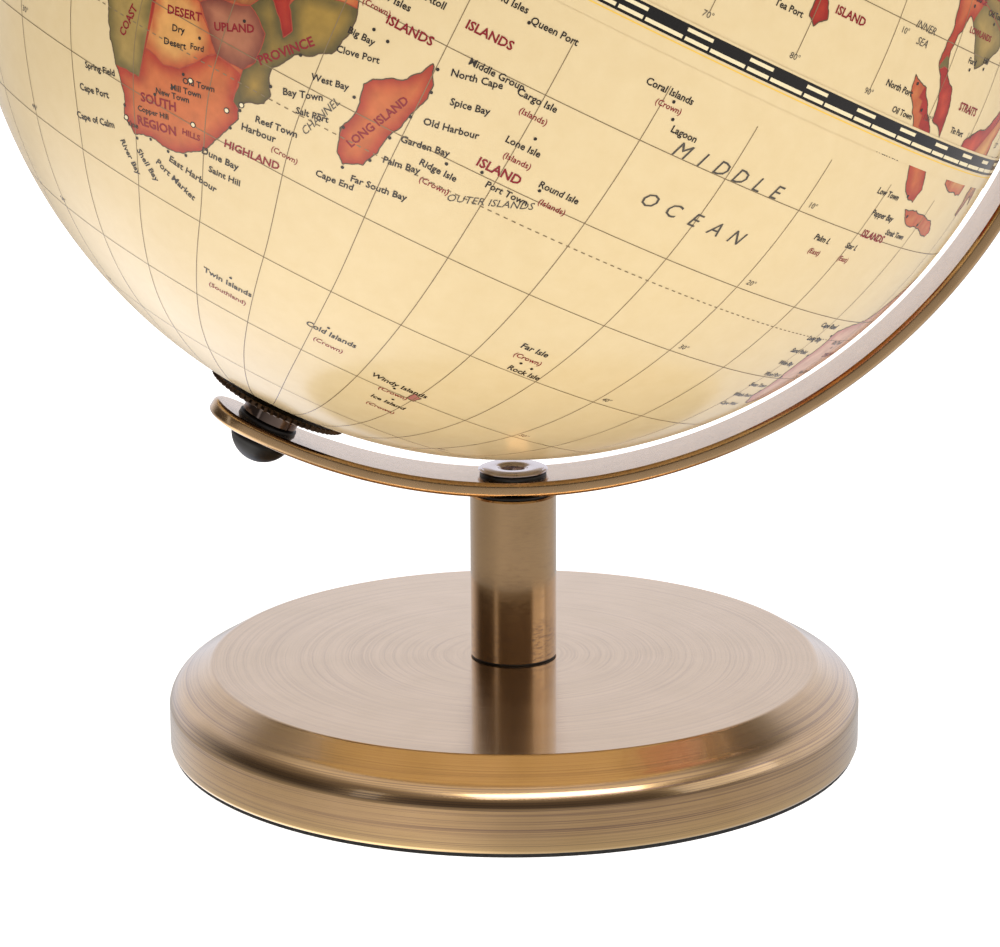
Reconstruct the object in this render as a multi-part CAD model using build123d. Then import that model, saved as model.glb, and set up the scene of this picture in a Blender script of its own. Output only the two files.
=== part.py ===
from build123d import *
import math
import os

# Desktop globe on a stand. Millimetres, +Z up, origin at the centre of the base's underside.
# The arm lies in the XZ plane. The polar axis leans towards +X, so the south pole is at -X, low.

# Ball
ball_radius = 100.0
sheet_thickness = 0.35
glue_gap = 0.03
shell_thickness = 2.4
seam_half_gap = 0.05
pole_hole_radius = 5.0
tape_thickness = 0.12
tape_north_edge = 2.6
tape_south_edge = -3.5
joining_ring_depth = 2.0
joining_ring_height = 10.0

# Polar axis and the arm round it
axis_tilt = 26.4
arm_inner_radius = 106.0
arm_thickness = 2.9
arm_width = 14.4
arm_overrun = 4.1
arm_edge_radius = 1.2

# Axle and what is threaded on it at each pole; distances run outwards from the ball's centre
axle_radius = 2.0
running_clearance = 0.05
static_clearance = 0.02
bush_radius = 4.95
bush_flange_radius = 8.0
bush_flange_thickness = 1.8
rosette_radius = 13.9
rosette_tooth_depth = 0.5
rosette_teeth = 64
rosette_low = 100.3
rosette_high = 101.3
rosette_seat = 100.02
rosette_hub_radius = 4.8
rosette_hub_top = 101.9
collar_radius = 5.5
collar_start = 102.2
collar_end = 105.2
rubber_radius = 5.85
cap_radius = 5.9
cap_height = 4.9
cap_skirt = 0.7
axle_end_in_cap = 2.6

# Base
cover_radius = 67.3
cover_top_radius = 58.4
cover_height = 16.3
cover_wall = 1.2
pad_radius = 66.8
pad_thickness = 0.6
slope_start_radius = 59.6
slope_start_height = 15.95
slope_end_radius = 63.9
slope_end_height = 13.4
shoulder_height = 8.9
shoulder_middle = (66.2, 11.55)
bottom_round = 0.7
weight_radius = 65.0
weight_bottom = 1.2
weight_chamfer = 4.0
counterbore_radius = 7.6
counterbore_depth = 6.0

# Stem
stem_radius = 8.35
stem_wall = 1.5
foot_washer_radius = 8.2
foot_washer_thickness = 0.4
seat_washer_radius = 7.7
seat_washer_thickness = 0.5
plug_length = 13.0
plug_setback = 0.3

# M6 screws
thread_radius = 2.98
thread_hole_radius = 3.02
clearance_hole_radius = 3.2
hex_across_flats = 4.5
arm_bolt_head_radius = 6.75
arm_bolt_head_thickness = 0.75
arm_bolt_bevel = 0.3
arm_bolt_boss_radius = 4.0
arm_bolt_boss_hole_radius = 4.15
arm_bolt_boss_length = 6.5
arm_bolt_length = 13.0
arm_bolt_washer_thickness = 0.9
socket_depth = 3.2
socket_mouth_radius = 2.75
base_bolt_head_radius = 5.0
base_bolt_head_thickness = 4.0
base_bolt_length = 20.0
base_washer_radius = 7.0
base_washer_thickness = 1.0

# Heights worked out from the above
stem_bottom = cover_height + foot_washer_thickness
ball_height = 158.5
arm_outer_radius = arm_inner_radius + arm_thickness
arm_underside = ball_height - arm_outer_radius
arm_topside = ball_height - arm_inner_radius
stem_top = arm_underside - seat_washer_thickness
shell_outer_radius = ball_radius - sheet_thickness - glue_gap
shell_inner_radius = shell_outer_radius - shell_thickness

tilt = math.radians(axis_tilt)
polar_plane = Plane(
    origin=(0, 0, ball_height),
    x_dir=(math.cos(tilt), 0, -math.sin(tilt)),
    z_dir=(math.sin(tilt), 0, math.cos(tilt)),
)


def disc(radius, low, high, bore=0.0):
    """A cylinder on +Z from one height to another, with an optional bore right through."""
    solid = Pos(0, 0, (low + high) / 2) * Cylinder(radius, high - low)
    if bore:
        solid -= Pos(0, 0, (low + high) / 2) * Cylinder(bore, high - low + 2)
    return solid


def turned(points):
    """A solid of revolution round Z from a closed outline of (radius, height) points."""
    outline = Polyline(*[(radius, 0, height) for radius, height in points], close=True)
    return revolve(make_face(outline), axis=Axis.Z)


def hexagon_prism(across_flats, low, high):
    """A six-sided prism on +Z, as in a hex socket."""
    profile = RegularPolygon(radius=across_flats / math.sqrt(3), side_count=6)
    return Pos(0, 0, low) * extrude(profile, amount=high - low)


def at_north(shape):
    """Place a shape made along +Z on the polar axis, at the north end."""
    return polar_plane.location * shape


def at_south(shape):
    """Place a shape made along +Z on the polar axis, at the south end."""
    return polar_plane.location * (Rot(0, 180, 0) * shape)


# ------------------------------------------------------------------ ball


def half_ball_wall(outer, inner, edge, hole):
    """Half a hollow ball above a given height, with a round hole at the pole."""
    wall = Sphere(outer) - Sphere(inner)
    wall &= disc(outer + 1, edge, outer + 1)
    return wall - disc(hole, 0, outer + 1)


def shell():
    return half_ball_wall(shell_outer_radius, shell_inner_radius, seam_half_gap, pole_hole_radius)


def map_sheet():
    inner = ball_radius - sheet_thickness
    return half_ball_wall(ball_radius, inner, seam_half_gap, pole_hole_radius)


def equator_tape():
    outer = ball_radius + glue_gap + tape_thickness
    band = Sphere(outer) - Sphere(ball_radius + glue_gap)
    return band & disc(outer + 1, tape_south_edge, tape_north_edge)


def joining_ring():
    half = joining_ring_height / 2
    outer = math.sqrt(shell_inner_radius ** 2 - half ** 2) - glue_gap
    return disc(outer, -half, half, outer - joining_ring_depth)


def bush():
    """Pressed into the pole hole from inside: a flange against the shell and a short sleeve."""
    bore = axle_radius + running_clearance
    seat = math.sqrt(shell_inner_radius ** 2 - bush_flange_radius ** 2) - glue_gap
    flange = disc(bush_flange_radius, seat - bush_flange_thickness, seat, bore)
    return flange + disc(bush_radius, seat, ball_radius - glue_gap, bore)


def rosette():
    """A flat disc with a fine toothed rim and a low hub, held against the ball at the pole."""
    points = []
    for step in range(2 * rosette_teeth):
        radius = rosette_radius - rosette_tooth_depth * (step % 2)
        angle = math.pi * step / rosette_teeth
        points.append((radius * math.cos(angle), radius * math.sin(angle)))
    star = extrude(make_face(Polyline(*points, close=True)), amount=rosette_high - rosette_low)
    hub = disc(rosette_hub_radius, rosette_seat, rosette_hub_top)
    bore = axle_radius + running_clearance
    return Pos(0, 0, rosette_low) * star + hub - disc(bore, 90, rosette_hub_top + 1)


# ------------------------------------------------------------------ axle hardware


def axle_rod():
    end = arm_outer_radius + axle_end_in_cap
    return disc(axle_radius, -end, end)


def collar():
    """Turned spacer with a chamfer at both ends."""
    chamfer_size = 0.35
    bore = axle_radius + static_clearance
    return turned([
        (bore, collar_start),
        (collar_radius - chamfer_size, collar_start),
        (collar_radius, collar_start + chamfer_size),
        (collar_radius, collar_end - chamfer_size),
        (collar_radius - chamfer_size, collar_end),
        (bore, collar_end),
    ])


def pole_rubber_washer():
    """Sits on the collar, and follows the arm's curved inner face."""
    washer = disc(rubber_radius, collar_end, arm_inner_radius + 1, axle_radius + static_clearance)
    return washer & (Rot(90, 0, 0) * Cylinder(arm_inner_radius - glue_gap, arm_width * 2))


def end_cap():
    """Blind domed cap on the outside of the arm, pressed on the axle's end."""
    dome_start = arm_outer_radius + cap_skirt
    dome_height = cap_height - cap_skirt
    dome_sphere = (cap_radius ** 2 + dome_height ** 2) / (2 * dome_height)
    top = dome_start + dome_height
    cap = disc(cap_radius, arm_outer_radius - 1, top) & (Pos(0, 0, top - dome_sphere) * Sphere(dome_sphere))
    cap -= Rot(90, 0, 0) * Cylinder(arm_outer_radius + glue_gap, arm_width * 2)
    return cap - disc(axle_radius + static_clearance, 0, arm_outer_radius + axle_end_in_cap + 0.1)


# ------------------------------------------------------------------ arm


def arm():
    """Flat bar bent to a half ring, full-round ends, softened edges, three holes."""
    overrun = math.degrees((arm_overrun + arm_width) / arm_inner_radius)
    middle = (arm_inner_radius + arm_outer_radius) / 2
    section = Rot(0, -90 - overrun, 0) * (Pos(middle, 0, 0) * Rectangle(arm_thickness, arm_width))
    bar = revolve(section, axis=Axis.Y, revolution_arc=180 + 2 * overrun)
    reach = 3 * arm_width
    waste = Pos(-arm_overrun - reach / 2, 0, 0) * Box(reach, 2 * arm_width, 3 * middle)
    waste -= Pos(-arm_overrun, 0, 0) * Cylinder(arm_width / 2, 3 * middle)
    bar -= waste
    rims = [edge for edge in bar.edges() if edge.length > 2 * arm_thickness]
    bar = fillet(rims, arm_edge_radius)
    bar -= disc(axle_radius + static_clearance, -2 * middle, 2 * middle)
    bar = polar_plane.location * bar
    return bar - disc(arm_bolt_boss_hole_radius, arm_underside - 1, arm_topside + 1)


def arm_bolt():
    """Wide flat-head joint screw: bevelled head, plain boss, thread, hex socket."""
    head_low = arm_topside + arm_bolt_washer_thickness
    head_top = head_low + arm_bolt_head_thickness
    head = disc(arm_bolt_head_radius, head_low, head_top)
    rim = head.faces().sort_by(Axis.Z)[-1].edges()
    head = chamfer(rim, arm_bolt_bevel)
    body = head + disc(arm_bolt_boss_radius, head_low - arm_bolt_boss_length, head_low)
    body += disc(thread_radius, head_low - arm_bolt_length, head_low)
    body -= hexagon_prism(hex_across_flats, head_top - socket_depth, head_top + 1)
    return body - disc(socket_mouth_radius, head_top - 0.4, head_top + 1)


def arm_bolt_washer():
    """Rubber ring under the screw's head, pressed to the arm's curved inner face."""
    top = arm_topside + arm_bolt_washer_thickness
    washer = disc(arm_bolt_head_radius, arm_topside - 1, top, arm_bolt_boss_hole_radius)
    hollow = Pos(0, 0, ball_height) * Rot(90, 0, 0)
    return washer & (hollow * Cylinder(arm_inner_radius - glue_gap, arm_width * 2))


# ------------------------------------------------------------------ stem


def stem_tube():
    tube = disc(stem_radius, stem_bottom, stem_top)
    tube = chamfer(tube.faces().sort_by(Axis.Z)[-1].edges(), 0.3)
    return tube - disc(stem_radius - stem_wall, 0, stem_top + 1)


def top_plug():
    high = stem_top - plug_setback
    plug = disc(stem_radius - stem_wall - static_clearance, high - plug_length, high)
    boss_floor = arm_topside + arm_bolt_washer_thickness - arm_bolt_boss_length - plug_setback
    plug -= disc(arm_bolt_boss_hole_radius, boss_floor, high + 1)
    return plug - disc(thread_hole_radius, 0, high)


def bottom_plug():
    low = stem_bottom + plug_setback
    return disc(stem_radius - stem_wall - static_clearance, low, low + plug_length, thread_hole_radius)


def foot_washer():
    return disc(foot_washer_radius, cover_height, stem_bottom, clearance_hole_radius)


def seat_washer():
    return disc(seat_washer_radius, stem_top, arm_underside, arm_bolt_boss_hole_radius)


# ------------------------------------------------------------------ base


def cover_outline(inset):
    """Half the cover's outline, from the centre of its top to the foot of its wall."""
    knee_radius = slope_start_radius - 0.5
    return [
        Line((0, 0, cover_height - inset), (cover_top_radius - inset, 0, cover_height - inset)),
        ThreePointArc(
            (cover_top_radius - inset, 0, cover_height - inset),
            (knee_radius - inset, 0, cover_height - 0.08 - inset),
            (slope_start_radius - inset, 0, slope_start_height - inset),
        ),
        Line(
            (slope_start_radius - inset, 0, slope_start_height - inset),
            (slope_end_radius - inset, 0, slope_end_height - inset),
        ),
        ThreePointArc(
            (slope_end_radius - inset, 0, slope_end_height - inset),
            (shoulder_middle[0] - inset, 0, shoulder_middle[1] - inset),
            (cover_radius - inset, 0, shoulder_height - inset),
        ),
    ]


def base_cover():
    """Turned brass cover: flat top, sloping shoulder, short upright wall, open below."""
    outer = cover_outline(0.0) + [
        Line((cover_radius, 0, shoulder_height), (cover_radius, 0, pad_thickness + bottom_round)),
        ThreePointArc(
            (cover_radius, 0, pad_thickness + bottom_round),
            (cover_radius - 0.2, 0, pad_thickness + 0.2),
            (cover_radius - bottom_round, 0, pad_thickness),
        ),
        Line((cover_radius - bottom_round, 0, pad_thickness), (0, 0, pad_thickness)),
        Line((0, 0, pad_thickness), (0, 0, cover_height)),
    ]
    inner_radius = cover_radius - cover_wall
    inner = cover_outline(cover_wall) + [
        Line((inner_radius, 0, shoulder_height - cover_wall), (inner_radius, 0, -1)),
        Line((inner_radius, 0, -1), (0, 0, -1)),
        Line((0, 0, -1), (0, 0, cover_height - cover_wall)),
    ]
    cover = revolve(make_face(outer), axis=Axis.Z) - revolve(make_face(inner), axis=Axis.Z)
    return cover - disc(clearance_hole_radius, 0, cover_height + 1)


def base_weight():
    """Cast-iron ballast with a chamfered shoulder and a counterbore for the screw's head."""
    top = cover_height - cover_wall
    weight = turned([
        (clearance_hole_radius, weight_bottom),
        (weight_radius, weight_bottom),
        (weight_radius, shoulder_height - cover_wall - 1),
        (slope_start_radius - weight_chamfer, top),
        (clearance_hole_radius, top),
    ])
    return weight - disc(counterbore_radius, 0, weight_bottom + counterbore_depth)


def base_pad():
    return disc(pad_radius, 0, pad_thickness)


def base_washer():
    top = weight_bottom + counterbore_depth
    return disc(base_washer_radius, top - base_washer_thickness, top, clearance_hole_radius)


def base_bolt():
    """Socket-head screw up through the ballast and the cover into the stem's lower plug."""
    shank_start = weight_bottom + counterbore_depth - base_washer_thickness
    low = shank_start - base_bolt_head_thickness
    body = disc(base_bolt_head_radius, low, shank_start)
    body += disc(thread_radius, shank_start, shank_start + base_bolt_length)
    return body - hexagon_prism(hex_across_flats, low - 1, low + 2.4)


# ------------------------------------------------------------------ write one file per piece

nodes = {
    "base_cover": base_cover(),
    "base_weight": base_weight(),
    "base_pad": base_pad(),
    "base_washer": base_washer(),
    "base_bolt": base_bolt(),
    "foot_washer": foot_washer(),
    "stem_tube": stem_tube(),
    "stem_bottom_plug": bottom_plug(),
    "stem_top_plug": top_plug(),
    "seat_washer": seat_washer(),
    "arm": arm(),
    "arm_bolt": arm_bolt(),
    "arm_bolt_washer": arm_bolt_washer(),
    "axle_rod": polar_plane.location * axle_rod(),
    "joining_ring": polar_plane.location * joining_ring(),
    "equator_tape": polar_plane.location * equator_tape(),
}

for side, place in (("north", at_north), ("south", at_south)):
    nodes[side + "_shell"] = place(shell())
    nodes[side + "_map_sheet"] = place(map_sheet())
    nodes[side + "_bush"] = place(bush())
    nodes[side + "_rosette"] = place(rosette())
    nodes[side + "_collar"] = place(collar())
    nodes[side + "_rubber_washer"] = place(pole_rubber_washer())
    nodes[side + "_cap"] = place(end_cap())

os.makedirs("parts", exist_ok=True)
for name, shape in nodes.items():
    export_step(shape, "parts/" + name + ".step")
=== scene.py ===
import math

import bmesh
import bpy
import numpy as np
from mathutils import Euler, Matrix, Vector, geometry
from mathutils.kdtree import KDTree


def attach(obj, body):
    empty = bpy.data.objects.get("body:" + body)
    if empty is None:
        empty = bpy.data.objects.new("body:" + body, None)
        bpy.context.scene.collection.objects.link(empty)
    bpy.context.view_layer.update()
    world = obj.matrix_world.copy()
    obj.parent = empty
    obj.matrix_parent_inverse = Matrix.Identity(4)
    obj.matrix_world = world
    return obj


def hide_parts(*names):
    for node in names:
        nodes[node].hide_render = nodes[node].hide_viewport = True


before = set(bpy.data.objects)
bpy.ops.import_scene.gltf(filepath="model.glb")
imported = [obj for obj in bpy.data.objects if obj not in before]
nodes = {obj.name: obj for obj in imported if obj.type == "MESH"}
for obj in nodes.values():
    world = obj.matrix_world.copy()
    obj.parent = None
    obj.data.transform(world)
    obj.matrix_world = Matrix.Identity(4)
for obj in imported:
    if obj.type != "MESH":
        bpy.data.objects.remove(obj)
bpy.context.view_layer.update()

# ---------------------------------------------------------------- camera
# A long lens a little above the base, looking slightly down, with the arm's plane almost square to it.

camera_distance = 0.5938
camera_pitch = math.radians(13.73)
camera_roll = math.radians(-0.33)
camera_turn = math.radians(-2.46)
camera_aim = Vector((-0.0046, 0.0, 0.060))

lens = bpy.data.cameras.new("long_lens")
lens.sensor_width = 36.0
lens.lens = 111.0
lens.shift_x = 0.011
lens.shift_y = -0.0365
lens.clip_start = 0.02
lens.clip_end = 60.0
camera = bpy.data.objects.new("camera", lens)
bpy.context.collection.objects.link(camera)
forward = Vector((0.0, math.cos(camera_pitch), -math.sin(camera_pitch)))
swing = Matrix.Rotation(camera_turn, 4, "Z")
facing = Euler((math.pi / 2 - camera_pitch, 0.0, 0.0)).to_matrix().to_4x4()
facing = facing @ Matrix.Rotation(camera_roll, 4, "Z")
camera.matrix_world = swing @ Matrix.Translation(camera_aim - forward * camera_distance) @ facing
bpy.context.scene.camera = camera
bpy.context.scene.view_settings.view_transform = "Standard"

# ---------------------------------------------------------------- studio
# A white sweep behind the object, a dim room over and in front of it, one big softbox above the front, and a
# weak light thrown back up off the floor. The floor is a pale card. It is left out of the gloss, which meets
# the room's own tones below the horizon.


def linear(colour):
    """An sRGB hex colour as linear light, by the standard curve."""
    parts = [int(colour[i:i + 2], 16) / 255 for i in (1, 3, 5)]
    return tuple(c / 12.92 if c < 0.04045 else ((c + 0.055) / 1.055) ** 2.4 for c in parts) + (1.0,)


def add(tree, kind, inputs=None, **settings):
    """One shader node; inputs give each of its sockets a value or the output that feeds it."""
    node = tree.nodes.new("ShaderNode" + kind)
    for key, value in settings.items():
        setattr(node, key, value)
    for socket, value in (inputs or {}).items():
        if isinstance(value, bpy.types.NodeSocket):
            tree.links.new(value, node.inputs[socket])
        else:
            node.inputs[socket].default_value = value
    return node


room = bpy.data.worlds.new("studio_room")
bpy.context.scene.world = room
room.use_nodes = True
tree = room.node_tree
compass = add(tree, "SeparateXYZ", {0: add(tree, "TexCoord").outputs["Generated"]})
towards = add(tree, "Math", {0: compass.outputs["X"], 1: 0.3, 2: compass.outputs["Y"]},
              operation="MULTIPLY_ADD")
behind = add(tree, "MapRange", {0: towards.outputs[0], 1: -0.1, 2: 0.6}, interpolation_type="SMOOTHSTEP")
height = compass.outputs["Z"]


def tones(steps):
    """A smooth curve over the height of the view, from (height, hex colour) steps."""
    ramp = add(tree, "ValToRGB", {0: add(tree, "MapRange", {0: height, 1: -1.0, 2: 1.0}).outputs[0]})
    ramp.color_ramp.interpolation = "EASE"
    for at, colour in steps[2:]:
        ramp.color_ramp.elements.new((at + 1) / 2)
    for element, (at, colour) in zip(ramp.color_ramp.elements, steps):
        element.position = (at + 1) / 2
        element.color = linear(colour)
    return ramp.outputs["Color"]


sweep = tones([(-1.0, "#98a0b4"), (-0.26, "#b4b0ae"), (-0.03, "#dcdce4"), (0.18, "#e6e6ee"),
               (0.52, "#dcdce6"), (0.70, "#5a524c"), (1.0, "#8c8278")])
dim_room = tones([(-1.0, "#b8b4b0"), (-0.30, "#b0aaa4"), (-0.04, "#928c86"), (0.12, "#4e4844"),
                  (0.34, "#544c46"), (0.6, "#8c8278"), (0.8, "#e8e0d6"), (1.0, "#d8d0c6")])
both = add(tree, "Mix", {0: behind.outputs[0], 6: dim_room, 7: sweep}, data_type="RGBA")
tree.links.new(both.outputs[2], tree.nodes["Background"].inputs["Color"])
# The white floor is brightest low on the left. Only the varnished ball looks that low.
left = add(tree, "MapRange", {0: compass.outputs["X"], 1: -0.05, 2: -0.45, 3: 1.4, 4: 4.0})
low = add(tree, "MapRange", {0: height, 1: -0.3, 2: -0.55, 3: 1.0, 4: left.outputs[0]})
far_left = add(tree, "MapRange", {0: compass.outputs["X"], 1: -0.98, 2: -0.6, 3: 0.92, 4: 1.2})
strength = add(tree, "Math", {0: low.outputs[0], 1: far_left.outputs[0]}, operation="MULTIPLY")
tree.links.new(strength.outputs[0], tree.nodes["Background"].inputs["Strength"])


def softbox(name, place, aim, width, depth, power, spread=1.0):
    """An oblong of even light that the lens doesn't see. Spread is how much of it reaches matt surfaces."""
    light = bpy.data.lights.new(name, "AREA")
    light.shape = "RECTANGLE"
    light.size = width
    light.size_y = depth
    light.energy = power
    light.diffuse_factor = spread
    lamp = bpy.data.objects.new(name, light)
    bpy.context.collection.objects.link(lamp)
    lamp.location = place
    lamp.rotation_euler = (Vector(aim) - Vector(place)).to_track_quat("-Z", "Y").to_euler()
    lamp.visible_camera = False
    return lamp


softbox("front_softbox", (0.3, -1.25, 1.35), (0.0, 0.0, 0.08), 1.6, 0.55, 12.5, 0.2)
softbox("left_strip", (-1.2, -1.0, 0.42), (0.0, 0.0, 0.06), 0.26, 0.7, 0.35)
softbox("right_softbox", (1.45, -0.55, 0.45), (0.0, 0.0, 0.06), 1.1, 0.7, 2.2, 0.7)
bounce = softbox("floor_bounce", (-0.03, -0.28, 0.003), (-0.03, -0.28, 0.5), 0.9, 0.34, 0.29)
bounce.visible_glossy = False
even_light = bpy.data.objects.new("even_light", bpy.data.lights.new("even_light", "SUN"))
even_light.data.angle = math.radians(70)
even_light.data.energy = 0.45
even_light.rotation_euler = (math.radians(24), math.radians(-12), 0.0)
even_light.visible_glossy = False
bpy.context.collection.objects.link(even_light)

floor_half = 6.0
floor_mesh = bpy.data.meshes.new("floor")
corners = [(-floor_half, -floor_half, 0), (floor_half, -floor_half, 0), (floor_half, floor_half, 0),
           (-floor_half, floor_half, 0)]
floor_mesh.from_pydata(corners, [], [(0, 1, 2, 3)])
floor = bpy.data.objects.new("floor", floor_mesh)
bpy.context.collection.objects.link(floor)
white_card = bpy.data.materials.new("white_card")
white_card.use_nodes = True
card_shader = white_card.node_tree.nodes["Principled BSDF"]
card_shader.inputs["Base Color"].default_value = linear("#f2f2f2")
card_shader.inputs["Roughness"].default_value = 1.0
card_shader.inputs["Specular IOR Level"].default_value = 0.0
card_shader.inputs["Emission Color"].default_value = (1.0, 1.0, 1.0, 1.0)
card_shader.inputs["Emission Strength"].default_value = 0.8
floor_mesh.materials.append(white_card)
floor.visible_glossy = False

# ---------------------------------------------------------------- base cover
# The cover is spun from brass sheet, brushed round its axis, given a brown antique tint and lacquered.
# It has a flat top, a sloping shoulder and a short upright wall, and it hides an iron ballast.

mm = 0.001
cover_radius = 67.3
cover_height = 16.3
cover_wall = 1.2
pad_top = 0.6
pole_join = 0.004


def bow(start, middle, end, count=9):
    """Points on the circle through three points, at even steps of angle from the first to the last."""
    a, b, c = (np.array(p, float) for p in (start, middle, end))
    d = 2 * (a[0] * (b[1] - c[1]) + b[0] * (c[1] - a[1]) + c[0] * (a[1] - b[1]))
    ux = ((a @ a) * (b[1] - c[1]) + (b @ b) * (c[1] - a[1]) + (c @ c) * (a[1] - b[1])) / d
    uy = ((a @ a) * (c[0] - b[0]) + (b @ b) * (a[0] - c[0]) + (c @ c) * (b[0] - a[0])) / d
    centre = np.array((ux, uy))
    first, last = (math.atan2(*(p - centre)[::-1]) for p in (a, c))
    sweep_angle = (last - first + math.pi) % (2 * math.pi) - math.pi
    angles = first + sweep_angle * np.linspace(0, 1, count)
    radius = np.linalg.norm(a - centre)
    return [tuple(p) for p in np.stack([ux + radius * np.cos(angles), uy + radius * np.sin(angles)], 1)]


def piece_from(name, points, faces, material, smooth_below=40.0, joined=0.0):
    """A new object from an array of points in millimetres and an array of faces. With joined, points nearer
    than that many millimetres become one, and the faces of a closed form are turned outward."""
    mesh = bpy.data.meshes.new(name)
    mesh.from_pydata((np.asarray(points, float) * mm).tolist(), [], np.asarray(faces).tolist())
    if joined:
        form = bmesh.new()
        form.from_mesh(mesh)
        bmesh.ops.remove_doubles(form, verts=form.verts, dist=joined * mm)
        bmesh.ops.recalc_face_normals(form, faces=form.faces)
        form.to_mesh(mesh)
        form.free()
    mesh.validate()
    mesh.shade_smooth()
    mesh.set_sharp_from_angle(angle=math.radians(smooth_below))
    mesh.materials.append(material)
    made = bpy.data.objects.new(name, mesh)
    bpy.context.collection.objects.link(made)
    return made


def turned_grid(radii, heights, loop=True):
    """Faces and points of a turned form: point (i, j) stands at radius radii[i, j], height heights[i] and
    angle j. Rows join in order, and a loop joins the last row to the first."""
    rows, turns = radii.shape
    angle = np.arange(turns) * 2 * math.pi / turns
    heights = np.broadcast_to(np.asarray(heights, float).reshape(rows, -1), radii.shape)
    points = np.stack([radii * np.cos(angle), radii * np.sin(angle), heights], 2).reshape(-1, 3)
    i, j = np.meshgrid(np.arange(rows if loop else rows - 1), np.arange(turns), indexing="ij")
    after, beside = (i + 1) % rows, (j + 1) % turns
    faces = np.stack([i * turns + j, after * turns + j, after * turns + beside, i * turns + beside], -1)
    return points, faces.reshape(-1, 4)


def turned(name, outline, material, turns=192, smooth_below=40.0, place=None, loop=True):
    """A closed outline of (radius, height) points turned round Z, in millimetres, then carried by place."""
    outline = np.array(outline, float)
    radii = np.repeat(outline[:, :1], turns, 1)
    points, faces = turned_grid(radii, outline[:, 1], loop)
    if place is not None:
        points = place(points)
    return piece_from(name, points, faces, material, smooth_below, pole_join)


def metal_start(name, pale, dark, patch, roughness=0.5):
    """A metal whose tint drifts between two colours in patches of that many millimetres."""
    material = bpy.data.materials.new(name)
    material.use_nodes = True
    tree = material.node_tree
    shader = tree.nodes["Principled BSDF"]
    shader.inputs["Metallic"].default_value = 1.0
    shader.inputs["Roughness"].default_value = roughness
    place = add(tree, "TexCoord").outputs["Object"]
    drift = add(tree, "TexNoise", {"Vector": place, "Scale": 1000 / patch, "Detail": 2.0})
    tint = add(tree, "Mix", {0: drift.outputs[0], 6: linear(pale), 7: linear(dark)}, data_type="RGBA")
    tree.links.new(tint.outputs[2], shader.inputs["Base Color"])
    return material, tree, shader, place


def mottled(name, one, other, roughness, pattern="TexNoise", **settings):
    """A dull material whose tint wavers between two colours by a fine pattern over the object."""
    material = bpy.data.materials.new(name)
    material.use_nodes = True
    tree = material.node_tree
    shader = tree.nodes["Principled BSDF"]
    grit = add(tree, pattern, {"Vector": add(tree, "TexCoord").outputs["Object"], **settings})
    tone = add(tree, "Mix", {0: grit.outputs[0], 6: linear(one), 7: linear(other)}, data_type="RGBA")
    tree.links.new(tone.outputs[2], shader.inputs["Base Color"])
    shader.inputs["Roughness"].default_value = roughness
    return material, tree, shader, grit


def brushed_round(name, pale, dark, streak, radius, across, along, smoothest, roughest, relief, calm):
    """Metal brushed or turned round Z: a noise that is short across the grain and long round the axis.
    Its coordinates are the unit direction from the axis, and radius less height, each over its grain size.
    The brown streaks fade above the height calm, and a painted reflection of the floor lightens the tint to
    gold at the cover's foot."""
    material, tree, shader, place = metal_start(name, pale, dark, 9.0)
    flat = add(tree, "VectorMath", {0: place, 1: (1.0, 1.0, 0.0)}, operation="MULTIPLY").outputs[0]
    outward = add(tree, "VectorMath", {0: flat}, operation="NORMALIZE").outputs[0]
    reach = add(tree, "VectorMath", {0: flat}, operation="LENGTH").outputs["Value"]
    up = add(tree, "SeparateXYZ", {0: place}).outputs["Z"]
    rise = add(tree, "Math", {0: reach, 1: up}, operation="SUBTRACT")
    climb = add(tree, "Math", {0: rise.outputs[0], 1: 1000 / across}, operation="MULTIPLY").outputs[0]
    lift = add(tree, "CombineXYZ", {"Z": climb}).outputs[0]
    grain_at = add(tree, "VectorMath", {0: outward, 1: (radius / along,) * 3, 2: lift},
                   operation="MULTIPLY_ADD")
    grain = add(tree, "TexNoise", {"Vector": grain_at.outputs[0], "Scale": 1.0, "Detail": 3.0,
                                   "Roughness": 0.7})
    gloss = add(tree, "MapRange", {0: grain.outputs[0], 1: 0.3, 2: 0.7, 3: smoothest, 4: roughest})
    tree.links.new(gloss.outputs[0], shader.inputs["Roughness"])
    drift = shader.inputs["Base Color"].links[0].from_socket
    most = add(tree, "MapRange", {0: up, 1: (calm - 3.0) * mm, 2: calm * mm, 3: 0.85, 4: 0.16})
    line = add(tree, "MapRange", {0: grain.outputs[0], 1: 0.46, 2: 0.66, 3: 0.0, 4: most.outputs[0]})
    lined = add(tree, "Mix", {0: line.outputs[0], 6: drift, 7: linear(streak)}, data_type="RGBA")
    # Painted reflection of the floor: the tint turns a lighter gold over the lowest few millimetres of the
    # wall.
    floor_reflection_share = add(tree, "MapRange", {0: up, 1: 1.2 * mm, 2: 4.6 * mm, 3: 0.45, 4: 0.0})
    painted_floor_reflection = add(tree, "Mix", {0: floor_reflection_share.outputs[0], 6: lined.outputs[2], 7: linear("#e8c88a")},
                 data_type="RGBA")
    tree.links.new(painted_floor_reflection.outputs[2], shader.inputs["Base Color"])
    bump = add(tree, "Bump", {"Strength": 1.0, "Distance": relief * mm, "Height": grain.outputs[0]})
    tree.links.new(bump.outputs[0], shader.inputs["Normal"])
    tree.links.new(add(tree, "Tangent", direction_type="RADIAL", axis="Z").outputs[0],
                   shader.inputs["Tangent"])
    shader.inputs["Anisotropic"].default_value = 0.6
    shader.inputs["Coat Weight"].default_value = 1.0
    shader.inputs["Coat Roughness"].default_value = 0.06
    return material


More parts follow.
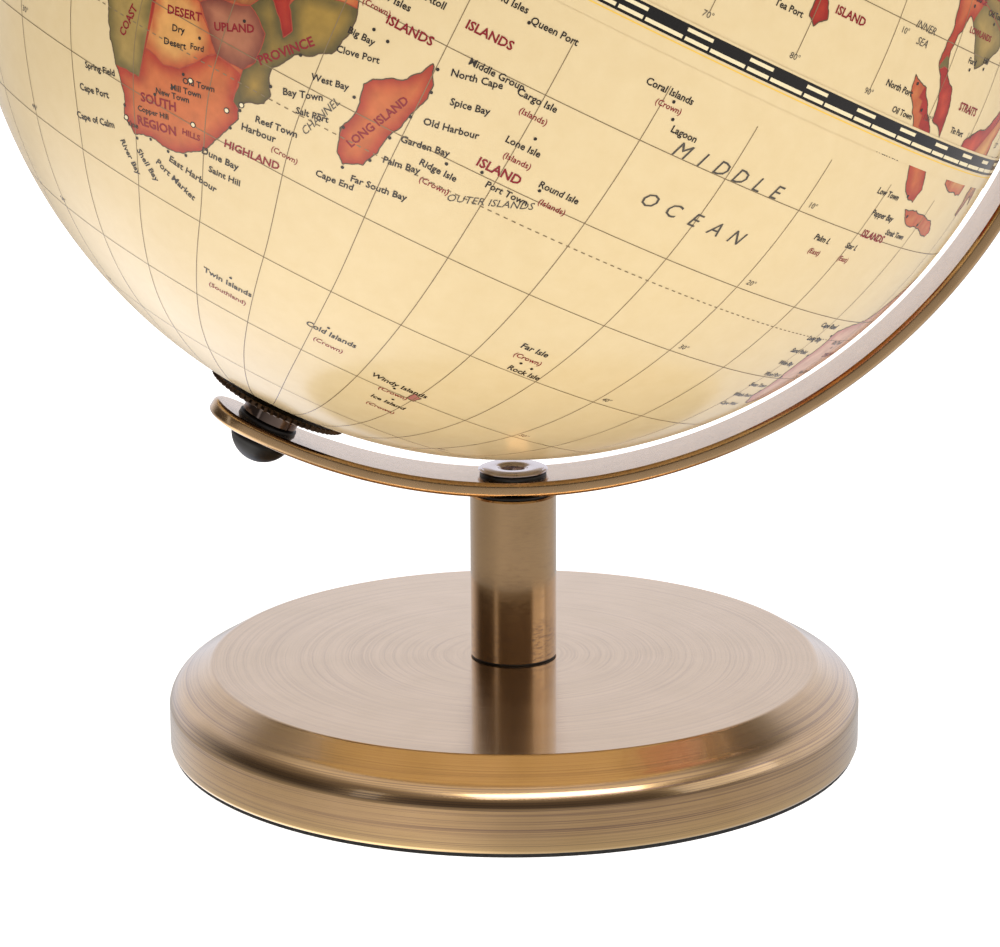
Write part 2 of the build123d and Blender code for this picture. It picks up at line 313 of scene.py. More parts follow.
# Antique brass, spun and brushed, under clear lacquer: long fine rings and a soft, drawn-out reflection.
spun_antique_brass = brushed_round("spun_antique_brass", "#d2b086", "#c09e6c", "#86695a", 60.0, 0.32, 90.0,
                                   0.13, 0.27, 0.0005, 15.8)
# Cast iron, oil-blacked: a rough dark skin.
cast_iron = metal_start("cast_iron", "#4a4644", "#34312f", 6.0, 0.62)[0]
# Foam rubber sheet: matt black with an open fine cell.
foam_rubber = mottled("foam_rubber", "#141414", "#2c2b2a", 0.85, "TexVoronoi", Scale=1400.0)[0]


def keep(name, material):
    """A CAD node stays as it is, in a new material."""
    nodes[name].data.materials.clear()
    nodes[name].data.materials.append(material)


def cover_line(inset):
    """Half the cover's section from its hole to the foot of its wall, moved inwards by inset."""
    knee = bow((58.4 - inset, cover_height - inset), (59.1 - inset, cover_height - 0.08 - inset),
               (59.6 - inset, 15.95 - inset), 7)
    shoulder = bow((63.9 - inset, 13.4 - inset), (66.2 - inset, 11.55 - inset),
                   (cover_radius - inset, 8.9 - inset), 17)
    top = [(3.2, cover_height - inset), (12.0, cover_height - inset), (40.0, cover_height - inset),
           (58.0 - inset, cover_height - inset)]
    slope = [(59.75 - inset, 15.86 - inset), (61.8 - inset, 14.66 - inset), (63.75 - inset, 13.49 - inset)]
    return top + knee + slope + shoulder + [(cover_radius - inset, 8.7 - inset)]


foot = [(cover_radius, 1.5)] + bow((cover_radius, 1.3), (67.1, 0.8), (66.6, pad_top), 7) + [(66.1, pad_top)]
cover = turned("brass_cover", cover_line(0.0) + foot + cover_line(cover_wall)[::-1], spun_antique_brass, 360,
               60.0)
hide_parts("base_cover")
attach(cover, "stand")
keep("base_weight", cast_iron)
keep("base_pad", foam_rubber)

# ---------------------------------------------------------------- stem
# A length of brass tube, satin-brushed across and lacquered. A screw from under the base holds it down on a
# thin black washer, and a second washer takes the arm.

stem_radius = 8.35
stem_low = 16.7
stem_high = 49.1

# The same antique brass, satin: a short fine grain across the tube.
satin_antique_brass = brushed_round("satin_antique_brass", "#d2b086", "#ba996c", "#8f7260", stem_radius,
                                    0.28, 1.8, 0.13, 0.25, 0.0006, 26.0)
# Hard black rubber: a smooth dull sheen.
black_rubber, tree, shader, grit = mottled("black_rubber", "#0c0c0d", "#1f1e1e", 0.42, Scale=2500.0,
                                           Detail=3.0)
bump = add(tree, "Bump", {"Distance": 0.01 * mm, "Height": grit.outputs[0]})
tree.links.new(bump.outputs[0], shader.inputs["Normal"])

stem = turned("stem_tube_skin", [(stem_radius, stem_low), (stem_radius, stem_low + 0.3), (stem_radius, 32.0),
                                 (stem_radius, stem_high - 0.5), (stem_radius, stem_high - 0.3),
                                 (stem_radius - 0.3, stem_high), (6.85, stem_high), (6.85, stem_low)],
              satin_antique_brass, 128)
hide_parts("stem_tube")
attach(stem, "stand")


def soft_ring(name, node, inner, outer, low, high, place=None, edge=0.12):
    """A flat rubber ring with rounded edges, in place of its CAD node."""
    rounded = [(outer - edge, high), (outer - edge * 0.3, high - edge * 0.3), (outer, high - edge)]
    rounded += [(outer, low + edge), (outer - edge * 0.3, low + edge * 0.3), (outer - edge, low)]
    ring = turned(name, [(inner, low), (inner, high)] + rounded, black_rubber, 96, 60.0, place)
    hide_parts(node)
    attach(ring, "stand")


soft_ring("stem_foot_ring", "foot_washer", 3.2, 8.2, cover_height, stem_low)
soft_ring("stem_seat_ring", "seat_washer", 4.15, 7.7, stem_high, 49.6)

# Machined steel, zinc-plated: a dull grey gloss, a little uneven.
plated_steel = metal_start("plated_steel", "#b8bac0", "#989aa2", 4.0, 0.34)[0]
for hidden in ("stem_bottom_plug", "stem_top_plug", "base_washer", "base_bolt", "axle_rod"):
    keep(hidden, plated_steel)

# ---------------------------------------------------------------- arm
# A flat brass bar, bent to a half ring round the ball and lacquered. Its ends are rounded off in plan and
# its long edges softened. The real bar's inner face is polished and its sides grainy; here one finish covers
# it all.

ball_height = 158.5
axis_tilt = math.radians(26.4)
arm_inner = 106.0
arm_thickness = 2.9
arm_half_width = 7.2
arm_overrun = 4.1
arm_edge = 0.9
arm_slit = 0.01


def on_axis(points, side=1, tilt=axis_tilt):
    """Points made round Z, carried to the polar axis: side 1 is the north end, and -1 turns them south."""
    x, y, z = np.asarray(points, float).T
    x, z = x * side, z * side
    c, s = math.cos(tilt), math.sin(tilt)
    return np.stack([c * x + s * z, y, ball_height - s * x + c * z], 1)


def bar_plan():
    """The flat bar's outline before bending: place along and across it, and the outward direction there."""
    middle = arm_inner + arm_thickness / 2
    half = middle * (math.pi / 2 + math.asin(arm_overrun / middle))
    run = np.linspace(-half, half, 340)[1:-1]
    turn = np.linspace(-math.pi / 2, math.pi / 2, 33)
    along = np.concatenate([run, np.full(33, half), run[::-1], np.full(33, -half)])
    out_along = np.concatenate([run * 0, np.cos(turn), run * 0, -np.cos(turn)])
    out_across = np.concatenate([run * 0 - 1, np.sin(turn), run * 0 + 1, -np.sin(turn)])
    return along, out_along, out_across, middle


def bar_section():
    """How far each ring of the bar's skin stands in from the outline, and its height through the bar."""
    quarter = np.linspace(0, math.pi / 2, 8)
    inset = arm_edge * (1 - np.sin(quarter))
    drop = arm_edge * (1 - np.cos(quarter))
    flats = np.array([arm_half_width - arm_slit, 4.0, arm_edge + 0.08])
    ins = np.concatenate([flats, inset, inset[::-1], flats[::-1]])
    up = np.concatenate([flats * 0, drop, arm_thickness - drop[::-1], flats * 0 + arm_thickness])
    return ins, up


along, out_along, out_across, middle = bar_plan()
ins, up = bar_section()
reach = arm_half_width - ins[:, None]
flat_along = along[None] + out_along[None] * reach
flat_across = out_across[None] * reach
bend = flat_along / middle
radius = arm_inner + up[:, None]
arm_points = np.stack([radius * np.cos(bend), flat_across, radius * np.sin(bend)], 2)
rings, steps = bend.shape
i, j = np.meshgrid(np.arange(rings - 1), np.arange(steps), indexing="ij")
beside = (j + 1) % steps
arm_faces = np.stack([i * steps + j, (i + 1) * steps + j, (i + 1) * steps + beside, i * steps + beside], -1)

# Antique brass bar, polished and lacquered over a rolled grain: specks and short scratches along the bar.
rolled_antique_brass, tree, shader, place = metal_start("rolled_antique_brass", "#d2b086", "#b49366", 7.0)
speck = add(tree, "TexNoise", {"Vector": place, "Scale": 1500.0, "Detail": 4.0, "Roughness": 0.75})
gloss = add(tree, "MapRange", {0: speck.outputs[0], 1: 0.35, 2: 0.68, 3: 0.18, 4: 0.30})
tree.links.new(gloss.outputs[0], shader.inputs["Roughness"])
bump = add(tree, "Bump", {"Strength": 1.0, "Distance": 0.0007 * mm, "Height": speck.outputs[0]})
tree.links.new(bump.outputs[0], shader.inputs["Normal"])
shader.inputs["Coat Weight"].default_value = 1.0
shader.inputs["Coat Roughness"].default_value = 0.05

bar = piece_from("arm_bar", on_axis(arm_points.reshape(-1, 3)), arm_faces.reshape(-1, 4),
                 rolled_antique_brass, 50.0, 2.5 * arm_slit)
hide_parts("arm")
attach(bar, "stand")

# ---------------------------------------------------------------- arm screw
# A joint screw with a wide flat head, nickel-plated, with a hex socket. It clamps the arm on the stem over a
# rubber ring.

thread_foot = 40.4
thread_radius = 2.98
shank_radius = 4.0
head_low = 53.4
head_high = 54.15
head_radius = 6.75
hex_half = 2.25
screw_turns = 192
angle = np.arange(screw_turns) * 2 * math.pi / screw_turns
hexagon = hex_half / np.cos((angle + math.pi / 6) % (math.pi / 3) - math.pi / 6)
screw_outline = [
    (0.0, thread_foot), (2.6, thread_foot), (thread_radius, thread_foot + 0.4), (thread_radius, 46.9),
    (3.9, 46.9), (shank_radius, 47.0), (shank_radius, head_low - 0.15), (6.1, head_low - 0.15),
    (6.25, head_low - 0.12),
    (6.62, head_low + 0.12),
    (head_radius, head_low + 0.27), (head_radius, head_high - 0.38), (6.7, head_high - 0.3),
    (6.3, head_high - 0.17), (6.2, head_high - 0.16), (6.1, head_high - 0.03), (6.0, head_high),
    (3.25, head_high), (3.1, head_high - 0.03), (2.95, head_high - 0.12), (2.75, head_high - 0.4),
]
screw_radii = np.repeat(np.array([r for r, h in screw_outline])[:, None], screw_turns, 1)
socket_radii = np.stack([hexagon, hexagon * 0.98, hexagon * 0.5, hexagon * 0.0])
socket_heights = [head_high - 0.55, head_high - 3.1, head_high - 3.4, head_high - 3.5]
# Bright nickel plate: a cool, faintly lilac mirror.
nickel_plate = metal_start("nickel_plate", "#dcd2d2", "#ccc2c2", 5.0, 0.09)[0]
points, faces = turned_grid(np.concatenate([screw_radii, socket_radii]),
                            [h for r, h in screw_outline] + socket_heights, False)
screw = piece_from("arm_screw", points, faces, nickel_plate, 25.0, pole_join)
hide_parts("arm_bolt")
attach(screw, "stand")
soft_ring("arm_screw_ring", "arm_bolt_washer", 4.15, 6.45, 52.4, head_low - 0.15, edge=0.2)

# ---------------------------------------------------------------- pole hardware
# At each pole a toothed rosette turns with the ball. Outside it a nickel collar and a rubber washer space the
# arm, and a black cap closes the axle's end.

rosette_teeth = 64
# Blackened bronze: dark, warm, half-glossy, rubbed lighter in places.
blackened_bronze = metal_start("blackened_bronze", "#5e4b3c", "#33291f", 3.0, 0.30)[0]
# Dark nickel plate on turned steel: a smoky mirror.
dark_nickel = metal_start("dark_nickel", "#80726c", "#665852", 3.0, 0.14)[0]
# Black plastic, moulded: a satin skin.
moulded_black, tree, shader, grit = mottled("moulded_black", "#070707", "#121111", 0.45, Scale=1800.0,
                                            Detail=2.0)
shader.inputs["Specular IOR Level"].default_value = 0.3

rosette_steps = 512
axle_bore = 2.1
angle = np.arange(rosette_steps) * 2 * math.pi / rosette_steps
tooth = np.abs((angle * rosette_teeth / (2 * math.pi)) % 1 - 0.5) * 2
rim = 13.4 + 0.5 * tooth
disc_low, disc_high, hub_high = 100.3, 101.3, 101.9
even = np.ones(rosette_steps)
rosette_rows = [(axle_bore * even, hub_high), (4.6 * even, hub_high), (4.8 * even, hub_high - 0.2),
                (4.8 * even, disc_high),
                (5.2 * even, disc_high - 0.04), (9.0 * even, disc_high - 0.04),
                (9.3 * even, disc_high - 0.12), (9.6 * even, disc_high), (rim - 0.25, disc_high),
                (rim, disc_high - 0.2), (rim, disc_low + 0.15), (rim - 0.2, disc_low), (4.8 * even, disc_low),
                (4.8 * even, 100.02), (axle_bore * even, 100.02)]
rosette_radii = np.stack([radii for radii, height in rosette_rows])
rosette_heights = [height for radii, height in rosette_rows]
collar_line = [(axle_bore, 102.2), (5.15, 102.2), (5.5, 102.55), (5.5, 102.7), (5.5, 104.7), (5.5, 104.85),
               (5.15, 105.2), (axle_bore, 105.2)]
cap_radius = 5.9
cap_low = 108.75
cap_bore = 111.6
cap_dome = bow((cap_radius - 0.25, 110.15), (3.4, 112.79), (0.0, 113.8), 14)
cap_line = [(0.0, cap_bore), (axle_bore, cap_bore), (axle_bore, cap_low), (cap_radius - 0.1, cap_low),
            (cap_radius, cap_low + 0.1), (cap_radius, 109.6), (cap_radius - 0.05, 109.85)] + cap_dome

for side, pole in ((1, "north"), (-1, "south")):
    def here(points, side=side):
        return on_axis(points, side)

    points, faces = turned_grid(rosette_radii, rosette_heights)
    rosette = piece_from(pole + "_toothed_rosette", here(points), faces, blackened_bronze, 35.0, pole_join)
    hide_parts(pole + "_rosette")
    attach(rosette, "ball")
    collar = turned(pole + "_turned_collar", collar_line, dark_nickel, 96, 30.0, here)
    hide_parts(pole + "_collar")
    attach(collar, "stand")
    soft_ring(pole + "_rubber_ring", pole + "_rubber_washer", axle_bore, 5.85, 105.2, 106.1, here, 0.2)
    cap = turned(pole + "_domed_cap", cap_line, moulded_black, 96, 50.0, here, False)
    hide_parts(pole + "_cap")
    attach(cap, "stand")
    keep(pole + "_bush", moulded_black)

# ---------------------------------------------------------------- ball
# Two plastic half shells glued over a joining ring. Each carries a printed paper map sheet, pressed on hot
# and varnished.

ball_radius = 100.0
hole_angle = math.degrees(math.asin(5.0 / ball_radius))
# White polystyrene, moulded: smooth, with a soft gloss.
white_polystyrene = mottled("white_polystyrene", "#e8e4da", "#dcd6ca", 0.4, Scale=60.0)[0]
for hidden in ("joining_ring", "north_shell", "south_shell"):
    keep(hidden, white_polystyrene)



def varnish(shader):
    """Clear varnish over a matt print: the print itself has no gloss, and the coat has all of it."""
    shader.inputs["Roughness"].default_value = 0.5
    shader.inputs["Coat Weight"].default_value = 1.0
    shader.inputs["Coat Roughness"].default_value = 0.19
    shader.inputs["Specular IOR Level"].default_value = 0.0


# Coated paper under varnish: even cream ink with a faint fibre mottle, and a clear wet-looking gloss.
cream_sea_print, tree, shader, grit = mottled("cream_sea_print", "#d0bc92", "#c8b184", 0.5, Scale=260.0,
                                              Detail=5.0, Roughness=0.6)
varnish(shader)

sheet_inner = 99.65
latitudes = np.radians(np.linspace(90 - hole_angle, 0.03, 96))
inner = latitudes[::-4]
sheet_line = [(ball_radius * math.cos(a), ball_radius * math.sin(a)) for a in latitudes]
sheet_line += [(sheet_inner * math.cos(a), sheet_inner * math.sin(a)) for a in inner]
for side, half in ((1, "north"), (-1, "south")):
    sheet = turned(half + "_map_skin", sheet_line, cream_sea_print, 360, 30.0,
                   lambda p, side=side: on_axis(p, side))
    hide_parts(half + "_map_sheet")
    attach(sheet, "ball")

# ---------------------------------------------------------------- printed lands
# The lands are printed over the cream sea in warm inks, each country a little darker and redder along its
# edge. The coasts are outlines in degrees east and north, roughened as an engraver would.

map_turn = -55.0
# The sheets and the tape were pressed on by hand, a little askew of the axle.
print_tilt = math.radians(27.0)
land_lift = 0.02
outlines = """
15.9 -21.9 16.5 -23.8 17.1 -25.6 18.1 -27.2 19 -28.5 20 -30.2 20.2 -31.9 20.6 -32.9 22 -33.9 24.6 -33.1 26.6
-33.3 28.4 -33 30 -32.2 31.8 -30.9 32.8 -29.2 33.6 -27.8 34.5 -26.1 34.3 -24.6 36.6 -23.3 37 -22.2 36.2 -19.6
37.8 -17.5 39.9 -16.3 41.1 -15.7 41.5 -14.6 41.5 -10.2 40 -7 39.7 -4.8 41.5 -2 44 1.5 47.5 4.5 50.5 9.5 51.3
11.8 48 11.3 44.5 10.5 43.2 12 41.5 15 39.5 17 37.3 21 35.6 24.5 33.5 28 32.6 30 32.2 31.2 29 31 25 31.8 20.5
31.5 19.5 30.4 16 31.3 11 33.3 10.8 36.8 5 36.8 -1 35.6 -5.5 35.8 -9 32.8 -9.8 30 -13 27.8 -16 24 -17 21
-16.3 18 -17.4 14.8 -15 10.8 -13 8.5 -9 5 -7.5 4.4 -4 5.2 1 5.8 4.5 6.3 6 4.3 9 4.3 9.8 1 9 -1 11.5 -4 13 -7
13.8 -10.5 12.6 -14 12.5 -17 14 -20 / 50 -12.1 50.9 -13.9 50.5 -16.6 50 -18.3 49.2 -20.4 48.2 -24.2 46.3
-25.1 45.3 -24.2 44.6 -21.8 45.4 -19.2 45 -16.8 45.6 -16 47 -15.2 48.5 -14.5 / -9 37 -9.5 39 -8.8 43 -2 43.4
-1.2 46 -4.5 48.3 -1.5 49.5 2 51 5 53.3 8.5 54 8.2 57 10.5 57.5 10.8 54.5 14 54 19 54.5 21.5 57.5 24 59 29 60
23 60 21.5 63 25 65.5 22 65.8 17.5 62 18.5 60 16.5 57 14 55.4 12.5 56.5 10.5 59 6 58.3 5 61.5 9.5 63.8 13
66.5 18 69.6 26 71 31 70 41 67.5 40 66.3 34 66.6 37 64 44 66 44 68.5 54 68.5 61 69 68 68.5 67 71.5 73 72.5 80
73 90 75.5 104 77.5 113 74 129 72 140 72.8 160 70 171 69.5 180 68.8 185 67 190 66 183 64.5 177.5 62.5 170 60
163.5 59.5 162 56 157 51.2 156 57 163 61.5 160 61.8 155 59.5 143 59.3 135.5 54.8 141 52.5 140.3 48 135 43.5
130.7 42.5 127.5 39.7 129.4 37 128.8 35.2 126.4 34.7 126.8 37.3 125 38.5 124.5 40 121.5 39.5 121.5 41 118
39.1 122.3 37.2 119.5 35 121.8 31.5 121.5 28.5 119 25 114 22.4 110 20.8 108 21.6 105.8 19 109 14 109 11.5 105
8.8 103.5 10.8 101 13.2 99.8 11 99.5 9.3 100.5 7.2 102.3 6.2 103.5 3.5 104 1.5 101.3 2.8 100.3 5.5 98.3 8
98.7 11 98.3 14 97.3 16.8 94.4 16 94 18.8 91.8 22.5 88.5 21.7 87 20.7 82.3 16.6 80.2 15.5 80.2 13 79.8 10.3
77.6 8.1 76.3 10 74.5 14 72.8 19 72.7 21.3 70.8 20.8 69 22.3 67 24.8 61.5 25.2 57 27 54 26.7 50 30 48 29.8 50
27 51.3 25.5 51.8 24 54.5 24.2 56.3 26 57 24 59.8 22.4 57.8 19 55 17 52 15.6 45 12.8 43.4 12.8 42.7 16.5 39
21.5 37 25 34.8 29.4 34.3 31.3 36 34.5 36 36.7 30.6 36.7 27.3 37 26.3 39.5 29.5 41 35 42 41.5 41.5 37.5 44.8
39 47.2 35 46.3 36.5 45.3 33.5 44.6 32.5 46 30.5 46.2 28 43.5 28.5 41.3 26 40.8 23 40.3 24 38 22.5 36.5 21
38.5 19.4 41.5 15.5 43.8 13.7 45.6 12.3 45 13.8 43 18.4 40 16.8 40.4 16.2 38 15.7 40 12.3 41.8 9 44.3 6.5
43.1 3.2 43.2 3 41.8 -0.3 39.5 -0.7 37.8 -2.2 36.8 -5.5 36.1 / -168 65.5 -162 66.5 -166 68.5 -156 71.3 -141
69.8 -128 70 -115 68.3 -108 68 -95 68 -94 72 -86 69.5 -82 68.5 -87 66 -94 61 -94.5 58.8 -88 56.8 -82.3 55 -82
53 -79.5 51.3 -79 55 -77 57.5 -78 62.3 -70 61 -65 59 -61.5 57 -56 52 -60 50.2 -66 50 -64.5 48.8 -61 45.8
-65.5 43.6 -67 45 -70.5 43 -70 41.6 -74 40.6 -76 37 -75.8 35.2 -81 31.5 -80.2 26 -81.3 25.3 -82.7 28 -84 30
-89.5 30.2 -90 29.2 -94 29.6 -97.3 27.5 -97.7 22.5 -95.8 18.7 -91.5 18.7 -90.4 21 -87 21.5 -88.2 16 -83.3 15
-83.7 11 -81.5 9 -79.5 9.6 -77.3 8.3 -75.3 10.8 -71.7 12.3 -71.5 10.5 -64 10.4 -61 9 -57 6 -51.5 4.5 -50 0.5
-44.5 -2.8 -39 -3.8 -35.3 -5.5 -35 -8.5 -39 -13 -39 -17.8 -41 -22 -45 -23.6 -48.6 -26 -48.8 -28.5 -52.2 -32.3
-55 -34.9 -58.4 -34 -57 -36.5 -62 -39 -65 -41 -63.8 -42.8 -67.4 -46.2 -66 -48 -69 -51 -68.4 -52.5 -65.4 -54.8
-69.5 -55.3 -74.5 -52.3 -75.5 -47 -73 -42 -73.5 -37 -71.5 -30.5 -70.3 -20 -72 -17.3 -76.3 -14 -79 -8 -81.2
-5.8 -80 -3 -81 -1 -79.5 1 -77.5 3.5 -77.6 7 -80 7.3 -83 8.2 -85.8 10.5 -87.6 13 -92 14.5 -95 16 -101.5 17.5
-105.6 20.5 -106 23 -109.4 26 -112.8 30.5 -114.7 31.3 -112 27.5 -109.6 23 -112.2 25 -115 28.5 -117.2 32.8
-120.6 34.6 -124 39 -124.4 43 -123.2 48.5 -128 51 -131 55 -137 58.5 -144 60 -148 60.5 -151.5 59.3 -154 57
-162 55 -157.5 58.5 -162 60 -165.5 62.5 -161 64 -166 64.5 / -73 78.3 -60 82 -35 83.5 -18 80 -20 75 -25 70.5
-40 65 -43.5 60 -51 64 -53.5 69 -58 75.5 / -80 73.5 -72 71.5 -62 66.5 -65 62.5 -72 64.5 -73 68 -85 70 -89 73
/ -117 70 -105 69.5 -105 73 -117 73 / -90 77 -76 78.5 -65 82 -75 83 -92 81 / 52 71.5 57 71 66 76.5 58 75.5 /
12 78.5 20 77 27 80 15 80 / 114.2 -21.2 114.2 -26 115.6 -30.5 115.8 -33 118.5 -34.3 123.5 -33 126.5 -31.5
131.5 -30.7 134.8 -32.2 136 -34 138 -32 138.2 -35 140.5 -37.2 144 -38 147 -38.4 150.2 -37 151.5 -33 153.4
-28.5 153 -25 150.5 -22 146.5 -18.5 145.5 -14.8 143.3 -13 142.5 -10.2 141.4 -13 140.7 -16.8 139 -16.8 135.8
-14 136.8 -11.5 132.3 -10.6 130.6 -11.8 129.5 -14.2 127.5 -13.3 124.3 -15.5 122.3 -17.3 119.5 -19.5 116.5
-20.2 / 131.5 -0.2 134.5 -0.5 138.5 -1 144.5 -3 148 -5 147.5 -6.2 150.8 -9.7 147.5 -9 144 -7 139 -7.5 138
-5.5 133 -3.5 / 109.5 2.2 111.5 3.3 113.5 3.8 115.7 5.8 117.2 7.4 119 5.5 118 3 118.5 1.5 117 -0.3 116.2 -3.2
114 -3 110.5 -2.5 109.5 0.3 / 95.6 6 98 5.3 100.8 2.6 103.5 0.5 104.8 -1.5 106.3 -3.8 106 -5.3 104.8 -5.2
101.8 -2.5 99 1 96 4.2 / 105.5 -6.2 108.7 -6.2 112.8 -6.5 114.6 -7.8 114.2 -8.3 110.5 -7.7 106.5 -7 / 119.6
0.7 120.8 1.4 125.3 1.7 124.3 0.4 121 0.5 122 -0.8 123.3 -0.6 121.9 -2 122.8 -4 121 -3 120.5 -5.4 119.6 -5.2
119 -2.8 / 80 9.6 81.3 8.5 82 7 80.8 5.9 79.9 6.6 / 130 31.5 131.8 33.6 135.5 33.6 139 34.9 140.8 36 141.8
39.5 140 41 139.5 38 136.8 37 133 35.5 130.8 34 / 140.2 41.8 143.3 42 145.3 43.4 141.8 45.4 / 120.4 16 120.7
18.4 122.2 18.3 121.8 14.5 124 12.8 120.8 14 / 122.1 7 124 8.5 126.3 9 126 6.2 124 6.2 / 120.2 23 121.5 25.2
120.9 22 / 109 19 110.8 20 110 18.4 / 172.8 -34.5 175.8 -36.5 178.3 -37.8 176.8 -40 175.2 -41.3 174 -39 /
172.7 -40.6 174 -41.9 170.8 -45.8 168.5 -46.6 166.8 -45.8 170 -43 / -5 50.2 1 51.2 1.5 52.8 -1.8 55.5 -2 57.6
-5 58.5 -5.8 56 -3 54 -4.8 52.5 / -10 52 -6.3 52.3 -5.8 54.8 -8.5 55 / -22.5 64 -18.5 63.5 -14 65 -16 66.4
-22 66.2 / -84.8 22 -80.5 23 -74.4 20.2 -77.5 19.9 -81 21.9 / -74.3 18.4 -72.5 19.9 -68.6 18.7 -71.5 17.8 /
144.8 -40.2 148.3 -40.3 147 -42.8 145.8 -42.8 / 69.6 -49.6 71.2 -50 70.8 -51.2 69.4 -51
"""
# Each country here is a rough ring round its land, and what is left goes to the nearest seed below.
countries = """
o 10 -27.8 18 -27.8 21.8 -27.6 22 -24.4 24.6 -25 26.6 -24.5 28.1 -23.2 29.3 -21.8 30.2 -21.2 33.4 -21.8 33.4
-24.7 34.6 -25.4 40 -27 40 -40 10 -40 / y 8 -16.9 21.8 -17.2 21.8 -27.6 18 -27.8 8 -27.8 / l 21.8 -17.2 26.9
-17.4 28.7 -19.4 30.2 -21.2 29.3 -21.8 28.1 -23.2 26.6 -24.5 24.6 -25 22 -24.4 / b 26.9 -17.4 28.7 -19.4 30.2
-21.2 33.4 -21.3 34.4 -20 34.4 -17 32 -15.3 28.5 -16.3 / r 33.8 -9.5 35.4 -10 35.6 -13.5 36.8 -15.5 36.2
-16.5 35.2 -15 33.6 -13.4 / m 33.4 -24.7 33.4 -21.3 34.4 -20 34.4 -17 32 -15.3 33.6 -13.4 35.2 -15 36.2 -16.5
36.8 -15.5 35.6 -13.5 36.2 -11.4 41.5 -10.8 46 -10 45 -25 36 -26 / t 22.8 -16.9 26.9 -17.4 28.5 -16.3 32
-15.3 33.6 -13.4 33.8 -9.5 30 -8.5 29.5 -12 25 -11.5 24.8 -12.9 22.8 -13 / k 8 -6 17 -6.5 20 -7.5 22.8 -11
22.8 -16.9 21.8 -17.2 8 -16.9 / o 43 -11 52 -11 52 -27 43 -27
"""
seeds = """
r 24 -3 / l 35 -6 / o 38 0.5 / y 32 1.5 / t 40 8 / m 46 6 / b 30 14 / o 19 14 / l 9 17 / r -2 17 / k 8 9.5 /
y 20 6.5 / g 12 5 / t 11 -1 / l 16 -1 / m -1 8 / b -8 7 / y -12 13 / l 29 27 / r 17 27 / y 3 28 / o -7 31 / k
-12 23 / r 46 24 / y 48 16 / t 57 21 / b 44 33 / o 54 32 / m 35 39 / l 66 34 / y 70 29 / k 79 22 / l 96 21 /
o 101 15 / r 103 4 / m 106 16 / y 104 12 / r 104 35 / l 103 46 / y 68 48 / m 60 40 / t 72 40 / o 95 62 / o
130 62 / o 165 65 / o 60 58 / o 45 56 / b 31 49 / l 20 52 / r 10 51 / y 2 47 / k -4 40 / m 12 43 / l 22 44 /
t 25 46 / y 16 62 / b 26 64 / r 8 61 / l 127 37 / k 138 37 / m 122 13 / l 99 1 / o 102 -2 / l 110 -7 / l 115
1 / r 113 3 / t 121 -2 / y 135 -4 / o 145 -6 / k 122 -25 / k 134 -21 / l 144 -22 / k 146 -32 / l 135 -29 / b
173 -40 / l -100 62 / l -75 50 / o -100 40 / k -152 64 / y -102 24 / r -90 15 / m -85 12 / t -74 4 / l -66 7
/ r -60 -10 / r -45 -10 / r -52 -22 / y -76 -9 / b -64 -17 / k -58 -23 / l -66 -35 / t -71 -35 / o -68 -48 /
m -56 -33 / y -57 4 / b -40 72 / t -80 22 / g -71 19 / r -3 53 / y -8 53 / b -18 65 / r 81 7.5
"""
inks = {"o": "#cb6c38", "y": "#a88c4c", "l": "#dca058", "b": "#b06f50", "r": "#cf4c2c", "m": "#a08038",
        "t": "#c9904e", "k": "#d8a88c", "g": "#968a70"}
edge_inks = {"o": "#a8301e", "y": "#6c5f34", "l": "#b8502c", "b": "#7c3c30", "r": "#98201a", "m": "#5c5230",
             "t": "#96502a", "k": "#b87468", "g": "#645a4a"}


def on_ball(lon, lat, lift=0.0):
    """The place on the ball of a printed longitude and latitude: the sphere's usual formula on its own axis,
    with the print turned round that axis, and lifted off the sphere by that many millimetres."""
    a, b = np.radians(np.asarray(lon, float) + map_turn), np.radians(np.asarray(lat, float))
    r = ball_radius + lift
    local = np.stack([r * np.cos(b) * np.sin(a), -r * np.cos(b) * np.cos(a), r * np.sin(b)], -1)
    return on_axis(local.reshape(-1, 3), 1, print_tilt).reshape(local.shape)


def roughened(ring, seed, closed=True, rounds=3, wander=0.10):
    """A coast from its main points: each round halves every run and pushes the new point sideways."""
    dice = np.random.default_rng(seed)
    for turn in range(rounds):
        after = np.roll(ring, -1, 0) if closed else ring[1:]
        before = ring if closed else ring[:-1]
        run = after - before
        side = np.stack([-run[:, 1], run[:, 0]], 1)
        half = (before + after) / 2 + side * dice.uniform(-wander, wander, (len(run), 1))
        woven = np.empty((len(before) * 2 + (0 if closed else 1), 2))
        woven[0::2] = ring
        woven[1::2] = half
        ring = woven
    return ring


def number_rings(text):
    """Rings of points from text: two numbers to a point, and a slash between rings."""
    return [np.array(part.split(), float).reshape(-1, 2) for part in text.split("/")]


def keyed_rings(text):
    """(ink letter, points) of each entry."""
    entries = [part.split() for part in text.split("/")]
    return [(entry[0], np.array(entry[1:], float).reshape(-1, 2)) for entry in entries]


def plan(lonlat, side):
    """A hemisphere laid flat: distance from the pole in degrees, at the angle of the longitude."""
    away = 90 - side * lonlat[:, 1]
    a = np.radians(lonlat[:, 0])
    return np.stack([away * np.cos(a), side * away * np.sin(a)], 1)


def unplan(flat, side):
    """The longitude and latitude of each flat point: plan, the other way."""
    away = np.hypot(flat[:, 0], flat[:, 1])
    return np.stack([np.degrees(np.arctan2(side * flat[:, 1], flat[:, 0])), side * (90 - away)], 1)


def inside(points, ring):
    """Whether each point is inside a ring, by counting the edges crossed on the way east."""
    x, y = points[:, :1], points[:, 1:]
    x0, y0 = ring.T
    x1, y1 = np.roll(ring, -1, 0).T
    crosses = (y0 > y) != (y1 > y)
    rise = np.where(y1 == y0, 1e-12, y1 - y0)
    return (crosses & (x < (x1 - x0) * (y - y0) / rise + x0)).sum(1) % 2 == 1


